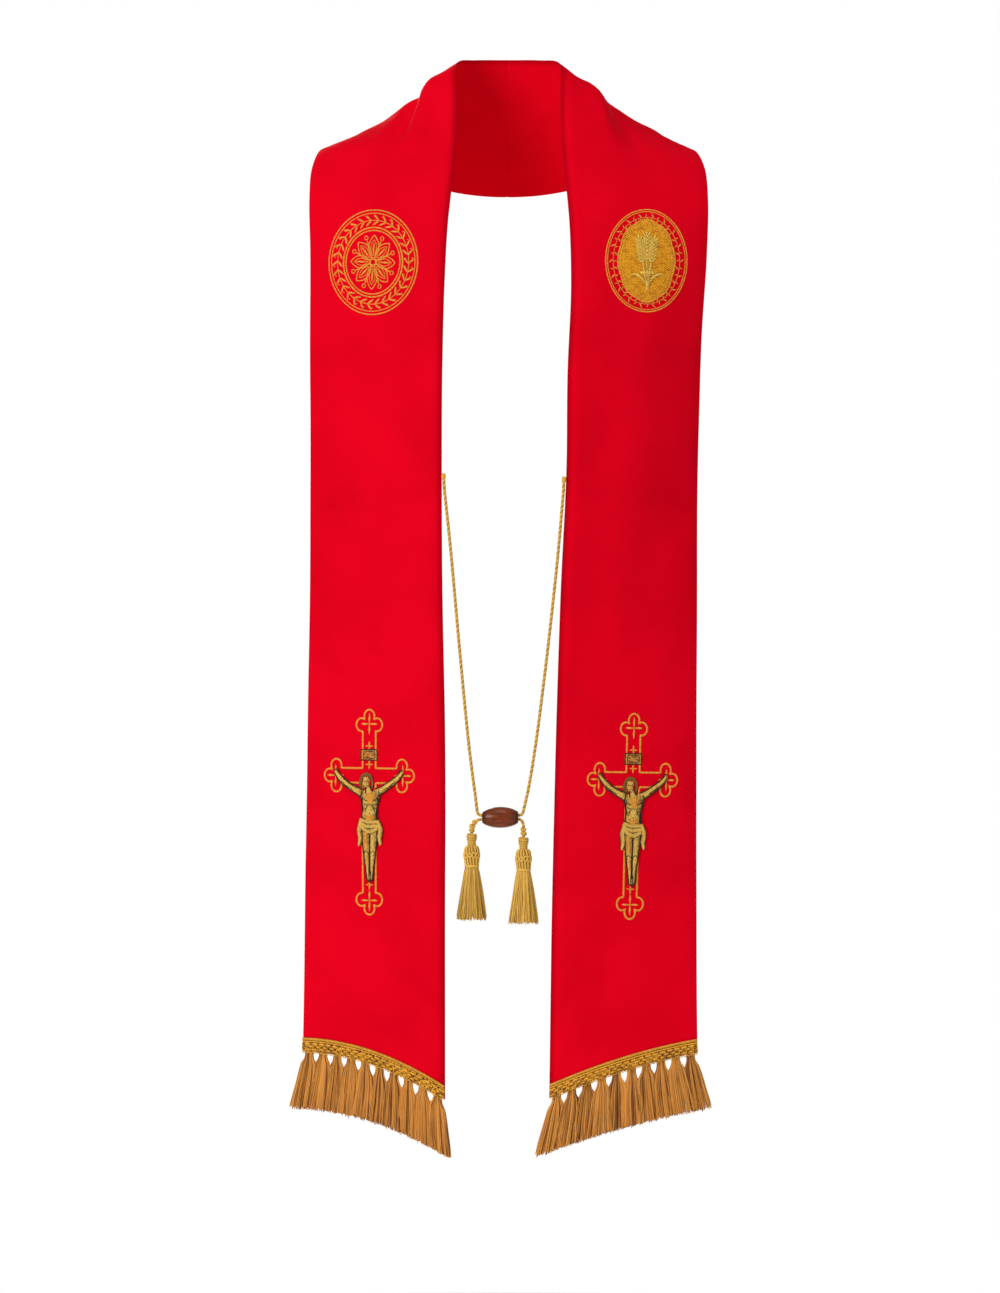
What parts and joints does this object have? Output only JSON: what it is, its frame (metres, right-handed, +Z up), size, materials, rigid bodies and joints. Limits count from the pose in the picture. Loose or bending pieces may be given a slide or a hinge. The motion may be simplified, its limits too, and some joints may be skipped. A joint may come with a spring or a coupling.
{
  "type": "clerical stole",
  "caption": "Wide stole worn open at the neck, with embroidered ends, braided and fringed hems, and a corded bead with tassels joining the fronts.",
  "frame": {"origin": "middle of the neck opening at shoulder height, where the wearer's neck and shoulders carry the stole", "axes": "+Z up along the hanging fronts, -Y is the front of the wearer, +X is the viewer's right"},
  "size_m": [0.5199, 0.2645, 1.3747],
  "materials": {
    "band": "smooth red twill with a slight sheen",
    "braid": "bright gold metallic braid",
    "fringe": "honey gold rayon strands",
    "cord": "twisted gold cord",
    "bead": "polished dark red-brown wood",
    "tassel": "yellow gold rayon"
  },
  "bodies": {
    "root": {"left_half": "band", "right_half": "band", "left_braid": "braid", "right_braid": "braid", "left_fringe": "fringe", "right_fringe": "fringe", "left_cord": "cord", "right_cord": "cord", "bead": "bead", "left_tassel": "tassel", "right_tassel": "tassel"}
  },
  "joints": []
}
